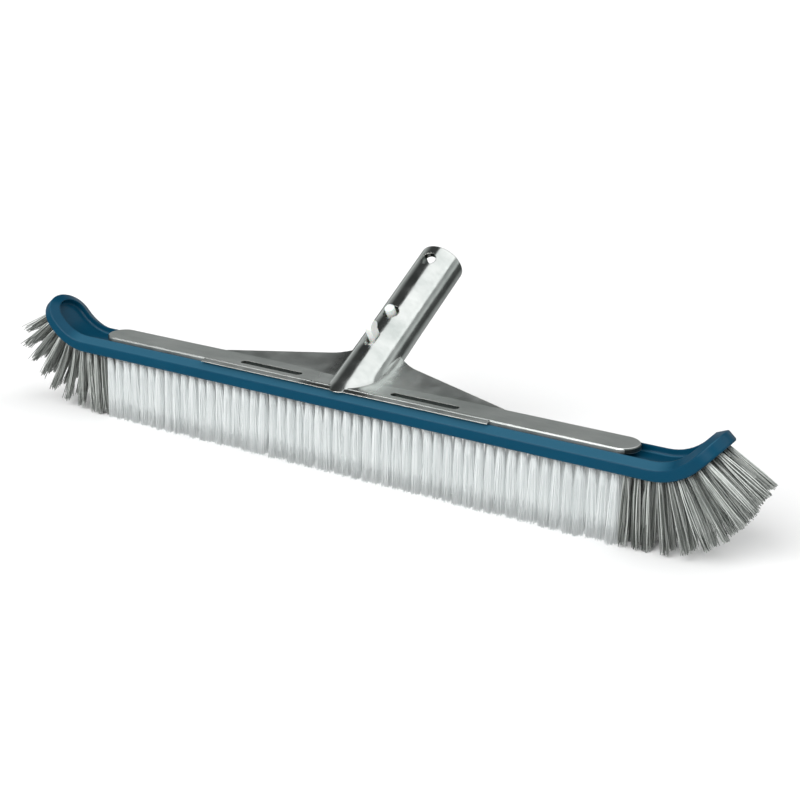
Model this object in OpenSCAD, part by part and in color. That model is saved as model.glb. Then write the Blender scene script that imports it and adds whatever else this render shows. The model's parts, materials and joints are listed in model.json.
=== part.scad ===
// Pool wall brush: moulded body with upswept ends, five rows of bristle tufts,
// cast aluminium back with a handle tube, and a sprung V clip that locks a pole.
// X runs along the brush, Y leans with the handle, Z is up.
// The origin is the middle of the bristle tips.

/* [Brush body] */
// Half the length of the straight part of the body
straight_half = 194; // [185:1:260]
// Half the width of the body
body_half_w = 15.8; // [15:0.1:20]
// Height of the body from underside to the inner edge of its rim
rim_h = 9.4; // [8:0.1:14]
// Height of the upright side band below the bevelled rim
side_h = 5.9; // [4:0.1:7]
// Thickness of the floor of the trough
floor_t = 5.4; // [5:0.1:7]
// Radius of the underside of the upswept ends
curl_r = 37.6; // [32:0.2:60]
// Angle through which each end sweeps up
curl_angle = 48; // [30:1:60]

/* [Bristles] */
// Free length of the bristles under the straight part
bristle_len = 41.5; // [20:0.5:60]
// Radius of a tuft where it leaves the body
tuft_root_r = 1.65; // [1.2:0.05:1.8]
// Gap between the tips of neighbouring white tufts
white_tip_gap = 0.53; // [0.3:0.01:3]
// Gap between the tips of neighbouring grey tufts
grey_tip_gap = 0.4; // [0.3:0.01:3]
// Spacing of the white tufts along a row
white_pitch = 6.73; // [6.4:0.01:9]
// Least spacing of the grey tufts along a row
grey_pitch = 5.6; // [5.5:0.1:8]
// Length of the straight part, at each end, that holds grey tufts
grey_run = 18; // [10:1:60]
// Spacing between rows
row_pitch = 5.6; // [5.4:0.1:6]
// Depth of a tuft's socket
socket_depth = 4.0; // [3:0.1:4.2]

/* [Back plate] */
// How far the plate stops short of the body's upswept ends
plate_end_gap = 11.3; // [8:0.1:30]
// Half the width of the plate
plate_half_w = 9.65; // [8:0.05:12]
// Thickness of the plate
plate_t = 3.0; // [2:0.1:4]
// Height that the plate stands proud of the rim
plate_proud = 2.5; // [1:0.1:2.9]

/* [Handle tube] */
// Outside radius of the tube
tube_r = 14.1; // [12:0.1:16]
// Wall of the tube
tube_wall = 3.1; // [2.5:0.1:4]
// Length of the tube's axis beyond the plate's top plane
tube_len = 98.2; // [95:0.5:140]
// Draft of the tube below its straight spigot, in degrees
tube_draft = 0.55; // [0.2:0.05:1]
// Lean of the tube from upright
tube_tilt = 60.7; // [50:0.1:66]
// Where the tube's axis crosses the plate's top plane
tube_y = 18.4; // [14:0.1:22]
// Radius of the lock holes and of the spare hole
lock_hole_r = 4.9; // [4.6:0.1:5.5]
// Distance of the spare hole from the open end
spare_from_end = 11.9; // [9:0.1:20]

/* [Wings] */
// Reach of each wing along the plate
wing_x = 98; // [70:1:150]
// Thickness of the wing behind the tube's middle plane
wing_back = 1.8; // [1.5:0.1:3]

/* [Spring clip] */
// Place of the lock buttons along the tube
button_s = 38.6; // [36:0.1:42]
// Radius of a lock button
button_r = 3.0; // [2.5:0.1:3.4]
// Height of a lock button above the tube
button_h = 4.4; // [3:0.1:5]
// Distance from the spare hole back to the clip's bend
bend_from_spare = 12.3; // [11:0.1:16]
// Thickness of the clip's leaf
leaf_t = 2.2; // [1.8:0.1:2.6]
// Width of the clip's leaf
leaf_w = 8; // [6:0.5:9]
// Height of a finger tab above the tube
tab_h = 10.9; // [6:0.1:14]

/* [Screws] */
// Radius of the screw shank
screw_r = 1.9; // [1.5:0.1:2]
// Radius of the screw head
screw_head_r = 3.7; // [3:0.1:3.8]
// Height of the screw head
screw_head_h = 2.2; // [1.5:0.1:2.5]

/* [Hidden] */
$fn = 48;
overlap = 1;
far = 200;

// Heights and lengths
plate_half_l = straight_half - plate_end_gap;
body_z = bristle_len;
plate_z = body_z + rim_h + plate_proud;
curl_z = body_z + curl_r;

// Rounded corners of the body's section
edge_r = 1.2;
crest_r = 0.9;
trough_gap = 0.25;
trough_half_w = plate_half_w + trough_gap;
trough_fillet = 1.5;
tip_join = 0.5;
corner_steps = 4;
rim_flat = 0.4;

function arc(cx, cy, r, a0, a1) =
    [for (i = [0:corner_steps]) let (a = a0 + (a1 - a0) * i / corner_steps)
        [cx + r * cos(a), cy + r * sin(a)]];

// Half of the body's section, as [distance from the middle, height above the underside]
bevel_a = atan2(rim_h - side_h, body_half_w - trough_half_w);
half_section = concat(
    [[0, 0]],
    arc(body_half_w - edge_r, edge_r, edge_r, -90, 0),
    arc(body_half_w - crest_r, side_h, crest_r, 0, 90 - bevel_a),
    [[trough_half_w + rim_flat, rim_h], [trough_half_w, rim_h]],
    arc(trough_half_w - trough_fillet, floor_t + trough_fillet, trough_fillet, 0, -90),
    [[0, floor_t]]);
full_section = concat(
    half_section,
    [for (i = [len(half_section) - 2:-1:1]) [-half_section[i][0], half_section[i][1]]]);

// Path of the tufts along the underside, u from the middle of the brush
arc_len = curl_r * curl_angle * PI / 180;
arc_end = straight_half + arc_len;
tip_fan = 1.1;
tip_margin = 3.2;
function path_u(u) = u - straight_half;
function tuft_angle(u) =
    path_u(u) <= 0 ? 0 :
    path_u(u) <= arc_len ? path_u(u) / curl_r * 180 / PI :
    curl_angle + tip_fan * (path_u(u) - arc_len);
function base_angle(u) = min(tuft_angle(u), curl_angle);
function past_arc(u) = max(path_u(u) - arc_len, 0);
function tuft_x(u) = min(u, straight_half) + curl_r * sin(base_angle(u)) + past_arc(u) * cos(curl_angle);
function tuft_z(u) = body_z + curl_r * (1 - cos(base_angle(u))) + past_arc(u) * sin(curl_angle);

// A tuft's tip fills its share of the space between its neighbours
white_tip_r = (min(white_pitch, norm([row_pitch, white_pitch / 2])) - white_tip_gap) / 2;
grey_tip_r = (min(grey_pitch, row_pitch) - grey_tip_gap) / 2;

// Bristles under the ends are trimmed shorter
trim_from = 20;
trim_span = 36;
trim_drop = 9.5;
tip_ease = 0.3;
function tuft_len(u) =
    bristle_len - min(grey_tip_r * sin(tuft_angle(u)), tip_ease)
    - trim_drop * pow(max(tuft_angle(u) - trim_from, 0) / trim_span, 1.5);

// Rows: the even ones are shifted by half a pitch
rows = 5;
white_half_count = floor((straight_half - grey_run) / white_pitch);
function row_y(row) = (row - (rows + 1) / 2) * row_pitch;
function row_shift(row) = row % 2 == 0 ? white_pitch / 2 : 0;
function white_end(row) = white_half_count * white_pitch - row_shift(row);
function row_end(row) = arc_end + sqrt(pow(body_half_w - tip_margin, 2) - pow(row_y(row), 2));

// The grey tufts are spaced so that none stands across the end of the body's arc
function grey_start(row) = white_end(row) + (white_pitch + grey_pitch) / 2;
function grey_arc(row) = arc_end - grey_start(row);
function grey_step(row) = grey_arc(row) / (floor(grey_arc(row) / grey_pitch - 0.5) + 0.5);
function grey_count(row) = floor((row_end(row) - grey_start(row)) / grey_step(row)) + 1;
function grey_places(row) = [for (i = [0:grey_count(row) - 1]) grey_start(row) + i * grey_step(row)];

// The middle row leaves out the tufts that the screws replace
middle_row = (rows + 1) / 2;
screw_steps = [floor(0.31 * white_half_count), floor(0.85 * white_half_count)];
function is_screw(row, x) =
    row == middle_row && len([for (k = screw_steps) if (abs(abs(x) - k * white_pitch) < 0.1) k]) > 0;
function white_places(row) =
    [for (x = [-white_end(row):white_pitch:white_end(row) + 0.1]) if (!is_screw(row, x)) x];
screw_places = [for (k = screw_steps, side = [-1, 1]) side * k * white_pitch];

// Sockets and wire anchors
socket_gap = 0.05;
anchor_w = 2.6;
anchor_t = 0.35;
anchor_h = 1.4;
anchor_gap = 0.1;

// Screws
screw_gap = 0.3;
screw_end_gap = 0.5;
head_recess = screw_head_h + 0.4;
boss_r = 4.2;
boss_floor = floor_t;
pilot_depth = 5;
pilot_gap = 0.05;

// Plate
plate_bevel = 0.7;
rib_w = 3;
rib_gap = 0.3;
rib_half_l = plate_half_l - 22.7;

// Tube
bore_r = tube_r - tube_wall;
bore_bottom = 7;
foot_s = 30;
lip_r = 0.8;
spigot_from = button_s + lock_hole_r + 2.5;
end_slope = 18;
end_drop = 2.2;

// Wings
wing_foot = [40, 2.7];
wing_tip = [wing_x, plate_half_w];
wing_side_s = 18;
wing_ridge_s = 9.4;
wing_ridge_x = 30;
wing_curve_steps = 6;
wing_front = 14;
wing_cone_a = 38.3;
wing_cone_len = 150;
wing_sink = 0.3;

// Clip
tab_from = 14.9;
tab_to = 20.6;
tab_w = 4.4;
tab_round = 3.5;
tab_gap = 1;
tab_swing = 5.7;
slot_half_w = tab_w / 2 + tab_gap;
slot_from = tab_from - tab_swing;
slot_to = tab_to + tab_gap;
button_dome = 1.4;
leaf_end = 13.5;
leaf_clear = 0.3;
bend_mid_r = 3.0;
bend_gap = 0.3;
bend_s = tube_len - spare_from_end - bend_from_spare;
leaf_end_y = sqrt(pow(bore_r - leaf_clear, 2) - pow(leaf_w / 2, 2)) - leaf_t / 2;
leaf_slope = atan2(leaf_end_y - bend_mid_r, bend_s - leaf_end);
button_root = bend_mid_r + (bend_s - button_s) * tan(leaf_slope);

// Puts children at a tuft's place: +Z points out along the bristles
module at_tuft(x, y) {
    side = x < 0 ? -1 : 1;
    u = abs(x);
    translate([side * tuft_x(u), y, tuft_z(u)])
        rotate([0, 180 - side * tuft_angle(u), 0])
            children();
}

// Puts children on the tube: +Z runs up its axis, +Y is its upper side
module on_tube() {
    translate([0, tube_y, plate_z])
        rotate([-tube_tilt, 0, 0])
            rotate([0, 0, 180])
                children();
}

// Extrudes a Y, Z outline along X between two ends
module along_x(x0, x1) {
    translate([x0, 0, 0])
        rotate([90, 0, 90])
            linear_extrude(height = x1 - x0)
                children();
}

module body_end() {
    translate([straight_half, 0, curl_z]) {
        rotate([90, 90, 0])
            rotate_extrude(angle = curl_angle)
                polygon([for (p = full_section) [curl_r - p[1], p[0]]]);
        rotate([0, -curl_angle, 0])
            translate([0, 0, -curl_r]) {
                along_x(0, tip_join)
                    polygon(full_section);
                translate([tip_join, 0, 0])
                    rotate([0, 0, -90])
                        rotate_extrude(angle = 180)
                            polygon(half_section);
            }
    }
}

module sockets(row) {
    for (x = concat(white_places(row), grey_places(row), [for (u = grey_places(row)) -u]))
        at_tuft(x, row_y(row))
            translate([0, 0, -socket_depth])
                cylinder(r = tuft_root_r + socket_gap, h = socket_depth + overlap, $fn = 24);
}

module brush_body() {
    color([0.02, 0.31, 0.42])
        difference() {
            union() {
                translate([0, 0, body_z])
                    along_x(-straight_half, straight_half)
                        polygon(full_section);
                body_end();
                mirror([1, 0, 0])
                    body_end();
            }
            for (row = [1:rows])
                sockets(row);
            for (x = screw_places)
                translate([x, 0, body_z]) {
                    translate([0, 0, -overlap])
                        cylinder(r = screw_r + screw_gap, h = floor_t + 2 * overlap);
                    translate([0, 0, -overlap])
                        cylinder(r = screw_head_r + screw_gap, h = head_recess + overlap);
                }
        }
}

// A tuft tapers from its root in the socket to its wider tip
module tuft(len, tip_r) {
    root = socket_depth - anchor_h - 2 * anchor_gap;
    translate([0, 0, -root])
        cylinder(r = tuft_root_r, h = root + overlap, $fn = 24);
    translate([0, 0, overlap])
        cylinder(r1 = tuft_root_r, r2 = tip_r, h = len - overlap, $fn = 24);
}

module white_tufts(row) {
    color([0.81, 0.86, 0.86])
        for (x = white_places(row))
            at_tuft(x, row_y(row))
                tuft(bristle_len, white_tip_r);
}

module grey_tufts(row, side) {
    color([0.5, 0.52, 0.52])
        for (u = grey_places(row))
            at_tuft(side * u, row_y(row))
                tuft(tuft_len(u), grey_tip_r);
}

// Flat wire anchors that hold each folded tuft at the bottom of its socket
module anchors(row) {
    color([0.75, 0.75, 0.72])
        for (x = concat(white_places(row), grey_places(row), [for (u = grey_places(row)) -u]))
            at_tuft(x, row_y(row))
                translate([-anchor_w / 2, -anchor_t / 2, -socket_depth + anchor_gap])
                    cube([anchor_w, anchor_t, anchor_h]);
}

module body_screws() {
    color([0.8, 0.81, 0.82])
        for (x = screw_places)
            translate([x, 0, body_z + head_recess]) {
                translate([0, 0, -screw_head_h])
                    cylinder(r = screw_head_r, h = screw_head_h);
                cylinder(r = screw_r, h = floor_t - head_recess + pilot_depth - screw_end_gap);
            }
}

plate_section = [
    [plate_half_w, -plate_t], [plate_half_w, -plate_bevel], [plate_half_w - plate_bevel, 0]];

module plate() {
    end_x = plate_half_l - plate_half_w;
    translate([0, 0, plate_z]) {
        along_x(-end_x, end_x)
            polygon(concat(plate_section,
                [for (i = [2:-1:0]) [-plate_section[i][0], plate_section[i][1]]]));
        for (x = [-end_x, end_x])
            translate([x, 0, 0])
                rotate_extrude()
                    polygon(concat([[0, -plate_t]], plate_section, [[0, 0]]));
    }
}

module bosses() {
    depth = plate_z - plate_t - body_z - boss_floor;
    for (x = screw_places)
        translate([x, 0, body_z + boss_floor])
            cylinder(r = boss_r, h = depth + overlap);
    translate([-rib_half_l, -rib_w / 2, body_z + boss_floor + rib_gap])
        cube([2 * rib_half_l, rib_w, depth - rib_gap + overlap]);
}

// Everything below the casting's underside: level under the plate, then sloping down behind it
module below(x0, x1, front, slope) {
    along_x(x0, x1)
        polygon([
            [-far, plate_z - plate_t / 2], [front, plate_z - plate_t / 2], [front, plate_z - end_drop],
            [far, plate_z - end_drop - (far - front) * tan(slope)], [far, -far], [-far, -far]]);
}

function ridge_s(x) =
    wing_ridge_s + (wing_ridge_x - x) * (wing_ridge_s - wing_low_s) / (wing_x - wing_ridge_x)
    + (x < wing_ridge_x ? wing_lift * pow((wing_ridge_x - x) / (wing_ridge_x - tube_r), 2) : 0);
wing_low_s = (plate_half_w - tube_y) * sin(tube_tilt);
wing_lift = 4.5;

// One wing: a web on the tube's middle plane, scooped by a cone that is tangent to the plate
module wing() {
    heading = atan2(wing_foot[1] - wing_tip[1], wing_foot[0] - wing_tip[0]);
    difference() {
        on_tube()
            rotate([90, 0, 0])
                translate([0, 0, -wing_front])
                    linear_extrude(height = wing_front + wing_back)
                        polygon(concat(
                            [[0, -foot_s], [-wing_x - 1, -foot_s], [-wing_x - 1, wing_low_s]],
                            [[-wing_x, wing_low_s]],
                            [for (i = [0:wing_curve_steps])
                                let (x = wing_ridge_x + (tube_r - 2 - wing_ridge_x) * i / wing_curve_steps)
                                [-x, ridge_s(x)]],
                            [[0, ridge_s(tube_r - 2)]]));
        translate([wing_tip[0], wing_tip[1], plate_z - wing_sink]) {
            rotate([0, 0, heading])
                rotate([0, 90 - wing_cone_a, 0])
                    cylinder(r1 = 0, r2 = wing_cone_len * tan(wing_cone_a), h = wing_cone_len, $fn = 96);
            rotate([0, 0, heading])
                translate([-wing_cone_len / 8, -2 * wing_sink, 0])
                    cube([wing_cone_len, wing_cone_len / 2, wing_cone_len / 2]);
        }
        translate([-far, -far / 2, 0])
            cube([far, far, far]);
        below(-1, wing_x + 10, plate_half_w - overlap, 0);
    }
}

module tube_solid() {
    difference() {
        on_tube() {
            translate([0, 0, -foot_s])
                cylinder(r1 = tube_r + (foot_s + spigot_from) * tan(tube_draft), r2 = tube_r,
                    h = foot_s + spigot_from, $fn = 96);
            translate([0, 0, spigot_from])
                cylinder(r = tube_r, h = tube_len - lip_r - spigot_from, $fn = 96);
            translate([0, 0, tube_len - lip_r])
                cylinder(r1 = tube_r, r2 = tube_r - lip_r, h = lip_r, $fn = 96);
        }
        below(-wing_x - 10, wing_x + 10, plate_half_w, end_slope);
    }
}

module handle_casting() {
    color([0.6, 0.63, 0.62])
        difference() {
            union() {
                plate();
                bosses();
                tube_solid();
                wing();
                mirror([1, 0, 0])
                    wing();
            }
            on_tube() {
                translate([0, 0, bore_bottom])
                    cylinder(r = bore_r, h = tube_len, $fn = 96);
                for (s = [button_s, tube_len - spare_from_end])
                    translate([0, 0, s])
                        rotate([90, 0, 0])
                            cylinder(r = lock_hole_r, h = 4 * tube_r, center = true);
                tab_slot();
            }
            for (x = screw_places)
                translate([x, 0, body_z])
                    cylinder(r = screw_r + pilot_gap, h = floor_t + pilot_depth);
            grooves();
        }
}

// Slots in both sides of the tube for the finger tabs, with round ends
module tab_slot() {
    for (s = [slot_from + slot_half_w, slot_to - slot_half_w])
        translate([0, 0, s])
            rotate([90, 0, 0])
                cylinder(r = slot_half_w, h = 4 * tube_r, center = true);
    translate([-slot_half_w, -2 * tube_r, slot_from + slot_half_w])
        cube([2 * slot_half_w, 4 * tube_r, slot_to - slot_from - 2 * slot_half_w]);
}

// Round-ended recesses in the plate in front of each wing
module grooves() {
    groove_x = [34, 73];
    groove_y = -2.8;
    groove_r = 2.7;
    groove_depth = 1.2;
    for (side = [-1, 1])
        translate([0, groove_y, plate_z - groove_depth]) {
            for (x = groove_x)
                translate([side * x, 0, 0])
                    cylinder(r = groove_r, h = groove_depth + overlap);
            translate([side > 0 ? groove_x[0] : -groove_x[1], -groove_r, 0])
                cube([groove_x[1] - groove_x[0], 2 * groove_r, groove_depth + overlap]);
        }
}

// The clip's sprung bend
module clip_bend() {
    color([0.88, 0.9, 0.88])
        on_tube()
            translate([0, 0, bend_s])
                rotate([0, 90, 0])
                    translate([0, 0, -leaf_w / 2])
                        rotate([0, 0, 90])
                            rotate_extrude(angle = 180)
                                translate([bend_mid_r - leaf_t / 2, 0])
                                    square([leaf_t, leaf_w]);
}

// One leg of the clip: leaf, lock button and finger tab
module clip_leg() {
    leaf_len = (bend_s - leaf_end) / cos(leaf_slope);
    union() {
        translate([0, bend_mid_r, bend_s])
            rotate([leaf_slope, 0, 0])
                translate([-leaf_w / 2, -leaf_t / 2, -leaf_len])
                    cube([leaf_w, leaf_t, leaf_len - bend_gap]);
        translate([0, 0, button_s])
            rotate([-90, 0, 0]) {
                translate([0, 0, button_root])
                    cylinder(r = button_r, h = tube_r + button_h - button_root - button_dome);
                translate([0, 0, tube_r + button_h - button_dome])
                    cylinder(r1 = button_r, r2 = button_r - button_dome, h = button_dome);
            }
        translate([-tab_w / 2, 0, 0])
            tab();
    }
}

module tab() {
    top = tube_r + tab_h;
    root = leaf_end_y - leaf_t / 2;
    difference() {
        translate([0, root, tab_from])
            cube([tab_w, top - root, tab_to - tab_from]);
        translate([-overlap, top - tab_round, tab_from])
            cube([tab_w + 2 * overlap, tab_round + overlap, tab_round]);
    }
    translate([0, top - tab_round, tab_from + tab_round])
        rotate([0, 90, 0])
            cylinder(r = tab_round, h = tab_w);
}

module clip_leg_upper() {
    color([0.88, 0.9, 0.88])
        on_tube()
            clip_leg();
}

module clip_leg_lower() {
    color([0.88, 0.9, 0.88])
        on_tube()
            mirror([0, 1, 0])
                clip_leg();
}

brush_body();
handle_casting();
clip_bend();
clip_leg_upper();
clip_leg_lower();
body_screws();
for (row = [1:rows]) {
    white_tufts(row);
    grey_tufts(row, -1);
    grey_tufts(row, 1);
    anchors(row);
}
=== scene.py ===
"""Looks of the pool wall brush: bristles, plate lip, materials, studio and camera.

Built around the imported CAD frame. Lengths are in metres, directions in the frame's own axes.
"""

import json
import math

import bpy
import numpy as np
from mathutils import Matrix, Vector


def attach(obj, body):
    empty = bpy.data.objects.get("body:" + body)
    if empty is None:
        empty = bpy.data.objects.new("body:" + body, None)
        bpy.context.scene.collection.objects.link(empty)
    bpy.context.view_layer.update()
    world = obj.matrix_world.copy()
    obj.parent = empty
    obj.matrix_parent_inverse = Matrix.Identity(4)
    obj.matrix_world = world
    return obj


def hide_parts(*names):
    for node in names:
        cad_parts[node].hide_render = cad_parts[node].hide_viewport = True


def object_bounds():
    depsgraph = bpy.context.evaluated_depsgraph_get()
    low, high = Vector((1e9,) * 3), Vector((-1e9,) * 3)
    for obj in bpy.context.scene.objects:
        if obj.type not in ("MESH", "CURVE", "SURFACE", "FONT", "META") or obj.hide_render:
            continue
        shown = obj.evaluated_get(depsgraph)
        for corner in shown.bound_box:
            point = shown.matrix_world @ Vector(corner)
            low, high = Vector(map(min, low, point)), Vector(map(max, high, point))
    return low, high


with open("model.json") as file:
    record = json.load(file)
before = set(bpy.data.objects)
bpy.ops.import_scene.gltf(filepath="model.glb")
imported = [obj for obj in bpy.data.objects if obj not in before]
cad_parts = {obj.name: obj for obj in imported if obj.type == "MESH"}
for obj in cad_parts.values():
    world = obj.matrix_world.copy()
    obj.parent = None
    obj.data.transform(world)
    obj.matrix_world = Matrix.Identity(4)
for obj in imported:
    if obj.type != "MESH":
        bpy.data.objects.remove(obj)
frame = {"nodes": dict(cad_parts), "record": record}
cad_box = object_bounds()
nodes = frame["nodes"]

MM = 0.001
ROWS = range(1, 6)
SEED = 7

# ---------------------------------------------------------------- bristles

WELD = 5  # decimal places at which a CAD mesh's corners are joined
END_BAND = 0.5 * MM  # how close to a tuft's end a corner has to be to belong to it
GOLDEN_ANGLE = math.pi * (3 - math.sqrt(5))
ROOT_JITTER, TIP_JITTER = 0.02, 0.10  # looseness of the filaments, in tuft radii
THINNEST, THICKEST = 0.85, 1.1  # range of the filaments' sizes


def tuft_solids(node):
    """Each tuft of a CAD node: root centre, axis to the tip, length, root and tip radius."""
    mesh = nodes[node].data
    points = np.array([v.co for v in mesh.vertices])
    welded, index = np.unique(points.round(WELD), axis=0, return_inverse=True)
    index = index.reshape(-1)
    parent = list(range(len(welded)))

    def top(i):
        while parent[i] != i:
            parent[i] = parent[parent[i]]
            i = parent[i]
        return i

    for polygon in mesh.polygons:
        first, *others = [top(index[v]) for v in polygon.vertices]
        for other in others:
            parent[top(other)] = top(first)
    roots = np.array([top(i) for i in range(len(welded))])
    tufts = []
    for root in np.unique(roots):
        own = welded[roots == root]
        middle = own.mean(0)
        axis = np.linalg.svd(own - middle)[2][0]
        along = (own - middle) @ axis
        ends = []
        for end, sign in ((along.min(), -1), (along.max(), 1)):
            ring = own[np.abs(along - end) < END_BAND]
            centre = ring.mean(0)
            ends.append((np.linalg.norm(ring - centre, axis=1).max(), centre))
        (r0, root_at), (r1, tip_at) = sorted(ends, key=lambda e: e[0])
        length = np.linalg.norm(tip_at - root_at)
        tufts.append((root_at, (tip_at - root_at) / length, length, r0, r1))
    return sorted(tufts, key=lambda t: tuple(t[0]))


def disc(count, rng, jitter):
    """Even but loose places over a unit disc."""
    k = np.arange(count) + 0.5
    r = np.sqrt(k / count)
    a = k * GOLDEN_ANGLE + rng.uniform(0, 2 * math.pi)
    return np.stack([r * np.cos(a), r * np.sin(a)], 1) + rng.normal(0, jitter, (count, 2))


def filament_mesh(name, tufts, look, rng):
    """One mesh with every filament of these tufts.

    Each is a thin prism. They leave the socket close together, then spread and bend a little.
    """
    count, sides, rings = look["count"], look["sides"], look["rings"]
    t = np.linspace(0, 1, rings)
    spread = t ** look["flare"]
    bow = 4 * t * (1 - t)
    taper = np.where(t < 1, 1.0, look["tip"])
    corner = 2 * math.pi * np.arange(sides) / sides
    ring_u, ring_v = np.cos(corner), np.sin(corner)
    vertices = []
    for root, axis, length, r0, r1 in tufts:
        u = np.cross(axis, (0, 1, 0))
        u /= np.linalg.norm(u)
        v = np.cross(axis, u)
        at_root = disc(count, rng, ROOT_JITTER) * (r0 - look["radius"])
        lean = rng.normal(0, look["lean"], 2) * r1
        wide = np.where(rng.random(count) < look["stray_share"], look["stray"], 1.0)[:, None]
        mixed = disc(count, rng, TIP_JITTER)[rng.permutation(count)]
        at_tip = (mixed * look["mixed"] + at_root / r0 * look["kept"]) * r1 * wide + lean
        bend = rng.normal(0, look["bend"], (count, 2)) + rng.normal(0, look["bow"], 2)
        reach = length - np.abs(rng.normal(0, look["uneven"], count))
        reach = reach - rng.uniform(0, look["short"])
        side = (at_root[:, None, :] * (1 - spread)[None, :, None]
                + at_tip[:, None, :] * spread[None, :, None]
                + bend[:, None, :] * bow[None, :, None])
        centre = (root + side[..., :1] * u + side[..., 1:] * v
                  + (reach[:, None] * t[None, :])[..., None] * axis)
        size = look["radius"] * rng.uniform(THINNEST, THICKEST, count)[:, None] * taper[None, :]
        ring = ring_u[:, None] * u + ring_v[:, None] * v
        vertices.append(centre[:, :, None, :] + size[:, :, None, None] * ring[None, None])
    vertices = np.concatenate(vertices).reshape(-1, 3)

    one = []
    for k in range(rings - 1):
        for i in range(sides):
            a, b = k * sides + i, k * sides + (i + 1) % sides
            one += [(a, b, b + sides), (a, b + sides, a + sides)]
    last = (rings - 1) * sides
    for i in range(1, sides - 1):
        one += [(0, i + 1, i), (last, last + i, last + i + 1)]
    total = count * len(tufts)
    first = np.arange(total) * rings * sides
    faces = (np.array(one)[None] + first[:, None, None]).reshape(-1, 3)

    mesh = bpy.data.meshes.new(name)
    mesh.vertices.add(len(vertices))
    mesh.vertices.foreach_set("co", vertices.astype(np.float32).ravel())
    mesh.loops.add(faces.size)
    mesh.loops.foreach_set("vertex_index", faces.ravel().astype(np.int32))
    mesh.polygons.add(len(faces))
    mesh.polygons.foreach_set("loop_start", np.arange(0, faces.size, 3, dtype=np.int32))
    mesh.update(calc_edges=True)
    mesh.validate()
    mesh.shade_smooth()
    round_side = np.tile(np.arange(len(one)) < 2 * sides * (rings - 1), total)
    mesh.polygons.foreach_set("use_smooth", round_side)
    return mesh


# flare: below 1 the filaments spread at once, above 1 near the tip.
# kept and mixed: how much of a tip's place follows its root's and how much is its own.
# lean, stray: in tip radii. uneven: length lost by each filament. short: by the whole tuft.
WHITE = dict(
    count=150, sides=3, rings=4, radius=0.20 * MM, tip=0.6, flare=0.95, kept=1.2, mixed=0.3,
    lean=0.12, stray=1.2, stray_share=0.04, bend=0.3 * MM, bow=0.25 * MM,
    uneven=0.5 * MM, short=1.0 * MM)
GREY = dict(
    count=30, sides=4, rings=4, radius=0.33 * MM, tip=0.6, flare=1.0, kept=0.9, mixed=0.45,
    lean=0.22, stray=1.8, stray_share=0.08, bend=0.5 * MM, bow=0.4 * MM,
    uneven=1.2 * MM, short=1.2 * MM)

# ---------------------------------------------------------------- plate lip

PLATE_TOP = 53.4 * MM
PLATE_HALF_W = 9.65 * MM
WING_REACH = 98 * MM
TUBE_R = 14.1 * MM
RIM_BEVEL = (0, 0.51, 0.86)  # the way the rim's front bevel faces, without signs

# The lip's section in mm: inwards from the plate's front edge, up from its top
LIP_SECTION = (
    (-0.12, -1.5), (-0.12, -0.62), (0.05, -0.25), (0.42, 0.06), (0.95, 0.10), (0.95, -1.5))


def plate_lip():
    """The polished front edge of the plate where the wings run out over it: a bevelled strip."""
    points = [(x, inwards * MM - PLATE_HALF_W, PLATE_TOP + up * MM)
              for x in (-WING_REACH, WING_REACH) for inwards, up in LIP_SECTION]
    n = len(LIP_SECTION)
    sides = [(i, (i + 1) % n, (i + 1) % n + n, i + n) for i in range(n)]
    ends = [tuple(range(n - 1, -1, -1)), tuple(range(n, 2 * n))]
    mesh = bpy.data.meshes.new("plate_lip")
    mesh.from_pydata(points, [], sides + ends)
    return bpy.data.objects.new("plate_lip", mesh)


# ---------------------------------------------------------------- materials


NOISE_ROUGHNESS = 0.55
BEVEL_SAMPLES = 4
CAVITY_SAMPLES = 6


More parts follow.
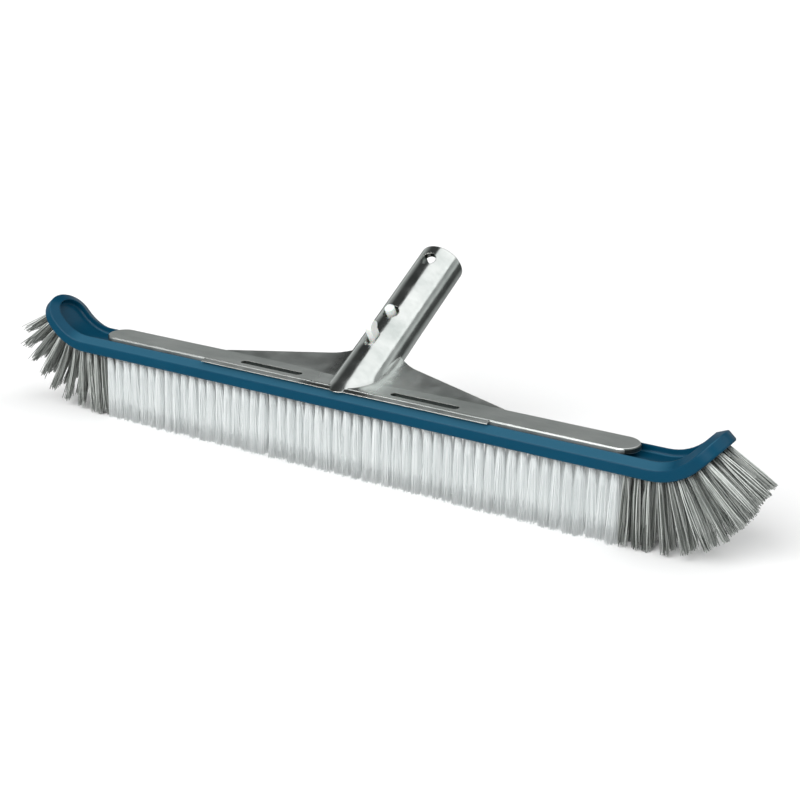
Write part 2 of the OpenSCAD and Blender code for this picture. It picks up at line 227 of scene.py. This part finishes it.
class Paint:
    """A Principled material with short ways to add procedural detail, sized in metres."""

    def __init__(self, name, **inputs):
        self.material = bpy.data.materials.new(name)
        self.material.use_nodes = True
        self.tree = self.material.node_tree
        self.shader = self.tree.nodes["Principled BSDF"]
        self.place = self.node("ShaderNodeTexCoord").outputs["Object"]
        for key, value in inputs.items():
            self.shader.inputs[key.replace("_", " ")].default_value = value

    def node(self, kind, **settings):
        made = self.tree.nodes.new(kind)
        for key, value in settings.items():
            setattr(made, key, value)
        return made

    def link(self, source, target):
        self.tree.links.new(source, target)

    def noise(self, size, detail=4, stretch=(1, 1, 1)):
        """Noise whose blobs are about size metres across, drawn out along the axes in stretch."""
        mapping = self.node("ShaderNodeMapping")
        mapping.inputs["Scale"].default_value = [1 / s for s in stretch]
        texture = self.node("ShaderNodeTexNoise")
        texture.inputs["Scale"].default_value = 1 / size
        texture.inputs["Detail"].default_value = detail
        texture.inputs["Roughness"].default_value = NOISE_ROUGHNESS
        self.link(self.place, mapping.inputs["Vector"])
        self.link(mapping.outputs["Vector"], texture.inputs["Vector"])
        return texture.outputs["Fac"]

    def ramp(self, factor, *stops):
        """Colour ramp with (place, colour) stops."""
        node = self.node("ShaderNodeValToRGB")
        elements = node.color_ramp.elements
        while len(elements) < len(stops):
            elements.new(0.5)
        for element, (place, colour) in zip(elements, stops):
            element.position = place
            element.color = (*colour, 1)
        self.link(factor, node.inputs["Fac"])
        return node.outputs["Color"]

    def spread(self, factor, low, high, start=0.3, end=0.7):
        """A number from low to high as factor goes from start to end."""
        node = self.node("ShaderNodeMapRange")
        limits = {"From Min": start, "From Max": end, "To Min": low, "To Max": high}
        for key, value in limits.items():
            node.inputs[key].default_value = value
        self.link(factor, node.inputs["Value"])
        return node.outputs["Result"]

    def mix(self, factor, a, b, blend="MIX"):
        """Colour a turned into b as far as factor says; each may be a socket or a plain value."""
        node = self.node("ShaderNodeMix", data_type="RGBA", blend_type=blend)
        for socket, value in (("Factor", factor), ("A", a), ("B", b)):
            kind = "Factor_Float" if socket == "Factor" else socket + "_Color"
            target = next(i for i in node.inputs if i.identifier == kind)
            if hasattr(value, "is_linked"):
                self.link(value, target)
            else:
                target.default_value = value if socket == "Factor" else (*value, 1)
        return next(o for o in node.outputs if o.identifier == "Result_Color")

    def rounded(self, radius):
        """A normal with its edges rounded by radius metres, and a mask that is 1 along them."""
        bevel = self.node("ShaderNodeBevel", samples=BEVEL_SAMPLES)
        bevel.inputs["Radius"].default_value = radius
        flat = self.node("ShaderNodeNewGeometry").outputs["Normal"]
        dot = self.node("ShaderNodeVectorMath", operation="DOT_PRODUCT")
        self.link(bevel.outputs["Normal"], dot.inputs[0])
        self.link(flat, dot.inputs[1])
        return bevel.outputs["Normal"], self.spread(dot.outputs["Value"], 1, 0, 0.80, 0.99)

    def cavities(self, reach, dark, start=0.45, end=0.9):
        """A number that is dark in grooves and corners narrower than reach, and 1 in the open;
        used as painted shade.
        """
        node = self.node("ShaderNodeAmbientOcclusion", samples=CAVITY_SAMPLES)
        node.inputs["Distance"].default_value = reach
        return self.spread(node.outputs["AO"], dark, 1, start, end)

    def grey(self, value):
        """A grey colour of this value."""
        node = self.node("ShaderNodeCombineColor")
        for socket in node.inputs[:3]:
            self.link(value, socket)
        return node.outputs["Color"]

    def facing(self, direction, start=0.92, end=0.995):
        """1 where the surface faces this way or a mirror image of it, 0 elsewhere."""
        sized = self.node("ShaderNodeVectorMath", operation="ABSOLUTE")
        self.link(self.node("ShaderNodeNewGeometry").outputs["Normal"], sized.inputs[0])
        dot = self.node("ShaderNodeVectorMath", operation="DOT_PRODUCT")
        self.link(sized.outputs["Vector"], dot.inputs[0])
        dot.inputs[1].default_value = direction
        return self.spread(dot.outputs["Value"], 0, 1, start, end)

    def within(self, axis, low, high, soft):
        """1 where the coordinate along this axis, without its sign, is in range, 0 outside."""
        split = self.node("ShaderNodeSeparateXYZ")
        self.link(self.place, split.inputs[0])
        size = self.math("ABSOLUTE", split.outputs[axis])
        return self.math("MULTIPLY", self.spread(size, 0, 1, low, low + soft),
                         self.spread(size, 1, 0, high - soft, high))

    def math(self, operation, *values):
        """The result of a Math node on one or two sockets."""
        node = self.node("ShaderNodeMath", operation=operation)
        for socket, value in zip(node.inputs, values):
            self.link(value, socket)
        return node.outputs[0]

    def bump(self, *layers, normal=None):
        """Bumps of (height, depth in metres), one on top of another."""
        for height, depth in layers:
            node = self.node("ShaderNodeBump")
            node.inputs["Distance"].default_value = depth
            self.link(height, node.inputs["Height"])
            if normal is not None:
                self.link(normal, node.inputs["Normal"])
            normal = node.outputs["Normal"]
        self.link(normal, self.shader.inputs["Normal"])

    def to(self, socket, value):
        self.link(value, self.shader.inputs[socket])


def body_plastic():
    """Dark blue moulded polypropylene: faint flow marks, fine texture, edges scuffed paler, and a
    painted highlight that makes the rim's bevels paler.
    """
    paint = Paint("body_plastic", Specular_IOR_Level=0.12, Coat_Weight=0.1, Coat_Roughness=0.15)
    normal, edges = paint.rounded(1.1 * MM)
    flow = paint.noise(22 * MM, stretch=(4, 1, 1))
    colour = paint.ramp(flow, (0.3, (0.0002, 0.042, 0.083)), (0.7, (0.0005, 0.050, 0.096)))
    # Painted light: the rim's bevel faces are painted a paler blue, as if lit from above
    lit_rim = paint.mix(paint.facing(RIM_BEVEL), colour, (0.022, 0.092, 0.148))
    scuffed = paint.mix(paint.spread(edges, 0, 0.25, 0, 1), lit_rim, (0.012, 0.10, 0.17))
    paint.to("Base Color", scuffed)
    paint.to("Roughness", paint.spread(paint.noise(9 * MM), 0.30, 0.42))
    grain = paint.noise(0.9 * MM, 2)
    ripple = paint.noise(14 * MM, 1, (3, 1, 1))
    paint.bump((grain, 0.006 * MM), (ripple, 0.05 * MM), normal=normal)
    return paint.material


def cast_aluminium():
    """Die-cast aluminium: tube polished, wings duller, mottled, with painted shade in grooves and
    corners.
    """
    paint = Paint("cast_aluminium", Metallic=1.0)
    normal, edges = paint.rounded(0.5 * MM)
    mottle = paint.noise(16 * MM, 5, (2.5, 1, 1))
    colour = paint.ramp(mottle, (0.32, (0.50, 0.535, 0.52)), (0.68, (0.68, 0.705, 0.69)))
    worn = paint.mix(paint.spread(edges, 0, 0.6, 0, 1), colour, (0.66, 0.64, 0.60))
    # Painted shade: the grooves below the plate's top, inside its edges, are painted near black
    low = paint.within("Z", PLATE_TOP - 2.8 * MM, PLATE_TOP - 0.2 * MM, 0.1 * MM)
    inner = paint.within("Y", -MM, PLATE_HALF_W - 1.3 * MM, 0.1 * MM)
    groove_shaded = paint.mix(paint.math("MULTIPLY", low, inner), worn, (0.10, 0.115, 0.11))
    # Painted shade: corners and recesses are darkened by ambient occlusion
    shade = paint.grey(paint.cavities(4 * MM, 0.35))
    paint.to("Base Color", paint.mix(1.0, groove_shaded, shade, "MULTIPLY"))
    polished = paint.spread(paint.noise(11 * MM, 4), 0.13, 0.24)
    off_tube = paint.within("X", TUBE_R + 2 * MM, 1, 12 * MM)
    paint.to("Roughness", paint.math("ADD", polished, paint.spread(off_tube, 0, 0.22, 0, 1)))
    marks = paint.noise(1.2 * MM, 3, (14, 1, 1))
    ripple = paint.noise(9 * MM, 2)
    paint.bump((marks, 0.012 * MM), (ripple, 0.09 * MM), normal=normal)
    return paint.material


def clip_plastic():
    """White moulded nylon: slightly translucent, faint yellowing, fine satin texture."""
    paint = Paint("clip_plastic", Subsurface_Weight=0.2, Subsurface_Scale=1.5 * MM,
                  Specular_IOR_Level=0.5)
    normal, edges = paint.rounded(0.35 * MM)
    colour = paint.ramp(paint.noise(5 * MM), (0.3, (0.77, 0.80, 0.76)), (0.7, (0.86, 0.885, 0.86)))
    paint.to("Base Color", paint.mix(paint.spread(edges, 0, 0.4, 0, 1), colour, (0.9, 0.91, 0.9)))
    paint.to("Roughness", paint.spread(paint.noise(3 * MM), 0.34, 0.5))
    paint.bump((paint.noise(0.5 * MM, 2), 0.01 * MM), normal=normal)
    return paint.material


STEEL_SHINE = 1.15  # the brighter patches of steel against its base colour
VARIES = 0.08  # how far a filament's roughness strays from the row's


def steel(name, base, low, high):
    """Stainless steel with fine turning marks and brighter worn edges."""
    paint = Paint(name, Metallic=1.0)
    normal, edges = paint.rounded(0.15 * MM)
    bright = tuple(c * STEEL_SHINE for c in base)
    colour = paint.ramp(paint.noise(2 * MM), (0.3, base), (0.7, bright))
    paint.to("Base Color", paint.mix(paint.spread(edges, 0, 0.5, 0, 1), colour, (0.9, 0.9, 0.89)))
    paint.to("Roughness", paint.spread(paint.noise(1 * MM), low, high))
    paint.bump((paint.noise(0.25 * MM, 2, (6, 1, 1)), 0.004 * MM), normal=normal)
    return paint.material


def bristle(name, dark, light, rough, streaks, through):
    """Nylon filaments: each its own tone between dark and light, with faint lengthwise streaks."""
    paint = Paint(name, Specular_IOR_Level=0.45, Subsurface_Weight=through,
                  Subsurface_Scale=2 * MM, Subsurface_Radius=(1, 1, 1))
    each = paint.node("ShaderNodeNewGeometry").outputs["Random Per Island"]
    middle = tuple((a + b) / 2 for a, b in zip(dark, light))
    colour = paint.ramp(each, (0.0, dark), (0.55, middle), (1.0, light))
    streak = paint.spread(paint.noise(1.5 * MM, 2, (1, 1, 12)), streaks, 1.0)
    paint.to("Base Color", paint.mix(1.0, colour, paint.grey(streak), "MULTIPLY"))
    paint.to("Roughness", paint.spread(each, rough - VARIES, rough + VARIES, 0, 1))
    return paint.material


materials = {
    "body_plastic": body_plastic(),
    "cast_aluminium": cast_aluminium(),
    "clip_plastic": clip_plastic(),
    "screw_steel": steel("screw_steel", (0.62, 0.63, 0.64), 0.18, 0.32),
    "anchor_wire": steel("anchor_wire", (0.60, 0.60, 0.57), 0.28, 0.42),
    "bristle_white": bristle("bristle_white", dark=(0.58, 0.62, 0.62), light=(0.76, 0.785, 0.785),
                             rough=0.45, streaks=0.96, through=0.4),
    "bristle_grey": bristle("bristle_grey", dark=(0.07, 0.08, 0.072), light=(0.66, 0.69, 0.66),
                            rough=0.38, streaks=0.8, through=0.0),
}

for part in frame["record"]["subparts"]:
    node = nodes[part["node"]]
    node.data.materials.clear()
    node.data.materials.append(materials[part["material_slot"]])

lip = plate_lip()
bpy.context.scene.collection.objects.link(lip)
lip.data.materials.append(materials["cast_aluminium"])
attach(lip, "brush")

rng = np.random.default_rng(SEED)
for kind, look in (("white", WHITE), ("grey_left", GREY), ("grey_right", GREY)):
    for row in ROWS:
        node = f"tufts_{kind}_{row}"
        name = f"bristles_{kind}_{row}"
        slot = "bristle_" + kind.split("_")[0]
        piece = bpy.data.objects.new(name, filament_mesh(name, tuft_solids(node), look, rng))
        bpy.context.scene.collection.objects.link(piece)
        piece.data.materials.append(materials[slot])
        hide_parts(node)
        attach(piece, "brush")
        # Clear nylon lets the light through to the rows behind it
        piece.visible_shadow = kind != "white"

# ---------------------------------------------------------------- studio

FLOOR_HALF = 14.0
# Grey of the sky by height, from -1 straight down to 1 straight up
SKY = ((-0.45, 0.42), (-0.30, 0.07), (-0.02, 0.10), (0.06, 0.80), (0.20, 0.52), (0.42, 0.30),
       (0.62, 0.05))
SKY_TINT = (0.97, 1, 0.985)
CAMERA_AT = (0.4729, -0.6815, 0.3442)
CAMERA_LOOKS_AT = (0.0270, 0.0132, 0.0438)
CAMERA_LENS = 68.5
CAMERA_SENSOR = 36


def aimed(obj, place, target):
    """Put an object into the scene at place, with its -Z axis towards target."""
    obj.location = place
    obj.rotation_euler = (Vector(target) - Vector(place)).to_track_quat("-Z", "Y").to_euler()
    bpy.context.scene.collection.objects.link(obj)
    return obj


def sun(name, towards, strength, angle):
    """Soft light from a wide disc in the sky in the given direction, angle degrees across."""
    light = bpy.data.lights.new(name, "SUN")
    light.energy = strength
    light.angle = math.radians(angle)
    return aimed(bpy.data.objects.new(name, light), towards, (0, 0, 0))


def pale_floor():
    """Pale floor under the bristle tips, which polished metal doesn't mirror."""
    mesh = bpy.data.meshes.new("floor")
    h = FLOOR_HALF
    mesh.from_pydata([(-h, -h, 0), (h, -h, 0), (h, h, 0), (-h, h, 0)], [], [(0, 1, 2, 3)])
    floor = bpy.data.objects.new("floor", mesh)
    floor.location.z = cad_box[0][2]
    floor.visible_glossy = False
    bpy.context.scene.collection.objects.link(floor)
    paint = Paint("floor_paper", Roughness=0.9, Specular_IOR_Level=0.1)
    patches = paint.noise(0.4, 2)
    paint.to("Base Color", paint.ramp(patches, (0.3, (0.94,) * 3), (0.7, (0.96,) * 3)))
    mesh.materials.append(paint.material)


def sky():
    """Dark below and overhead with a pale band between, for polished metal to mirror."""
    world = bpy.data.worlds.new("studio")
    world.use_nodes = True
    tree = world.node_tree
    background = tree.nodes["Background"]
    place = tree.nodes.new("ShaderNodeTexCoord")
    split = tree.nodes.new("ShaderNodeSeparateXYZ")
    height = tree.nodes.new("ShaderNodeMapRange")
    height.inputs["From Min"].default_value = -1
    ramp = tree.nodes.new("ShaderNodeValToRGB")
    elements = ramp.color_ramp.elements
    while len(elements) < len(SKY):
        elements.new(0.5)
    for element, (up, grey) in zip(elements, SKY):
        element.position = (up + 1) / 2
        element.color = (*(grey * c for c in SKY_TINT), 1)
    tree.links.new(place.outputs["Generated"], split.inputs[0])
    tree.links.new(split.outputs["Z"], height.inputs["Value"])
    tree.links.new(height.outputs["Result"], ramp.inputs["Fac"])
    tree.links.new(ramp.outputs["Color"], background.inputs["Color"])
    bpy.context.scene.world = world


pale_floor()
sky()
sun("key", (0.47, 0.12, 0.875), 1.55, 76)
sun("fill", (-0.15, -0.78, 0.60), 3.1, 60)

camera = bpy.data.cameras.new("camera")
camera.sensor_width = CAMERA_SENSOR
camera.lens = CAMERA_LENS
bpy.context.scene.camera = aimed(
    bpy.data.objects.new("camera", camera), CAMERA_AT, CAMERA_LOOKS_AT)
bpy.context.scene.view_settings.view_transform = "Standard"
